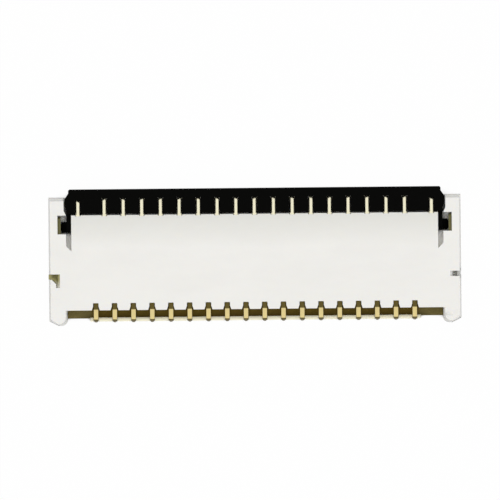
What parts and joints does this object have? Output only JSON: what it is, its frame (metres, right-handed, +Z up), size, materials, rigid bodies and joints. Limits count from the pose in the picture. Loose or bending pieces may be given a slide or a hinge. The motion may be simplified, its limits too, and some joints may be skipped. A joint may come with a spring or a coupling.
{
  "type": "fpc connector",
  "caption": "Low surface-mount connector for a flat flexible cable: white housing, staggered gold contacts and a black back-flip lever that clamps the cable.",
  "frame": {"origin": "middle of the base of the whole connector with its lever closed", "axes": "+X along the row of contacts to the right, +Y from the cable mouth towards the lever, +Z up from the board"},
  "size_m": [0.0132, 0.0044, 0.001],
  "materials": {
    "housing": "matte moulded",
    "aligner": "matte moulded",
    "lever": "matte moulded",
    "front_contacts": "gold plated",
    "rear_contacts": "pale gold plated",
    "hold_downs": "dull plated sheet"
  },
  "bodies": {
    "base": {"housing": "housing", "tail_aligner": "aligner", "hold_down_left": "hold_downs", "hold_down_right": "hold_downs", "end_contact_left": "rear_contacts", "end_contact_right": "rear_contacts", "front_contact_01": "front_contacts", "front_contact_02": "front_contacts", "front_contact_03": "front_contacts", "front_contact_04": "front_contacts", "front_contact_05": "front_contacts", "front_contact_06": "front_contacts", "front_contact_07": "front_contacts", "front_contact_08": "front_contacts", "front_contact_09": "front_contacts", "front_contact_10": "front_contacts", "front_contact_11": "front_contacts", "front_contact_12": "front_contacts", "front_contact_13": "front_contacts", "front_contact_14": "front_contacts", "front_contact_15": "front_contacts", "front_contact_16": "front_contacts", "front_contact_17": "front_contacts", "front_contact_18": "front_contacts", "rear_contact_01": "rear_contacts", "rear_contact_02": "rear_contacts", "rear_contact_03": "rear_contacts", "rear_contact_04": "rear_contacts", "rear_contact_05": "rear_contacts", "rear_contact_06": "rear_contacts", "rear_contact_07": "rear_contacts", "rear_contact_08": "rear_contacts", "rear_contact_09": "rear_contacts", "rear_contact_10": "rear_contacts", "rear_contact_11": "rear_contacts", "rear_contact_12": "rear_contacts", "rear_contact_13": "rear_contacts", "rear_contact_14": "rear_contacts", "rear_contact_15": "rear_contacts", "rear_contact_16": "rear_contacts", "rear_contact_17": "rear_contacts"},
    "lever": {"lever": "lever"}
  },
  "joints": [
    {"name": "lever_turn", "type": "hinge", "parent": "base", "child": "lever", "pos_m": [0, 0.00097, 0.00061], "axis": [1, 0, 0], "range_deg": [0, 90]}
  ]
}
